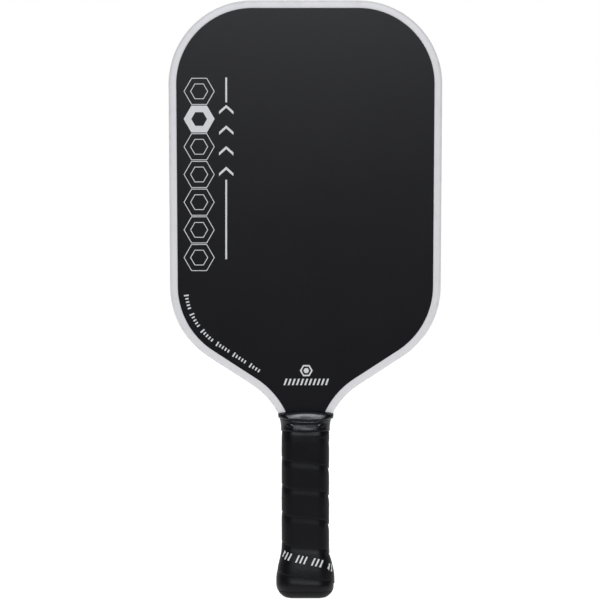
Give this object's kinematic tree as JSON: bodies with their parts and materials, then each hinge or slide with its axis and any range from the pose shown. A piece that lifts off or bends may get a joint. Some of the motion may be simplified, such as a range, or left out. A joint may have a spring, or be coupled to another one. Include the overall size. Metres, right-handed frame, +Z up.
{
  "type": "pickleball paddle",
  "caption": "Pickleball paddle with carbon faces on a honeycomb core, a white edge guard, and an eight-sided handle with a wrapped grip, rubber collar and flared butt cap.",
  "frame": {"origin": "middle of the flat butt end, with the paddle standing upright on it", "axes": "+Z up the handle to the top of the blade, X across the blade, -Y out of the front face"},
  "size_m": [0.1912, 0.0376, 0.4175],
  "materials": {
    "carbon_face": "satin",
    "face_print": "matte",
    "white_guard": "satin",
    "core_plastic": "satin",
    "adhesive": "satin",
    "shell_foam": "matte",
    "black_cap": "satin",
    "cap_badge": "gloss",
    "staple_steel": "satin",
    "grip_wrap": "satin",
    "tape": "matte",
    "collar_rubber": "gloss"
  },
  "bodies": {
    "root": {"honeycomb_core": "core_plastic", "front_adhesive_film": "adhesive", "rear_adhesive_film": "adhesive", "front_face_sheet": "carbon_face", "rear_face_sheet": "carbon_face", "edge_guard": "white_guard", "edge_guard_adhesive": "adhesive", "front_shell_adhesive": "adhesive", "rear_shell_adhesive": "adhesive", "front_handle_shell": "shell_foam", "rear_handle_shell": "shell_foam", "butt_cap": "black_cap", "butt_badge": "cap_badge", "butt_cap_staple_1": "staple_steel", "butt_cap_staple_2": "staple_steel", "butt_cap_staple_3": "staple_steel", "butt_cap_staple_4": "staple_steel", "grip_tape": "tape", "grip_wrap": "grip_wrap", "finishing_tape": "collar_rubber", "grip_collar": "collar_rubber"}
  },
  "joints": []
}
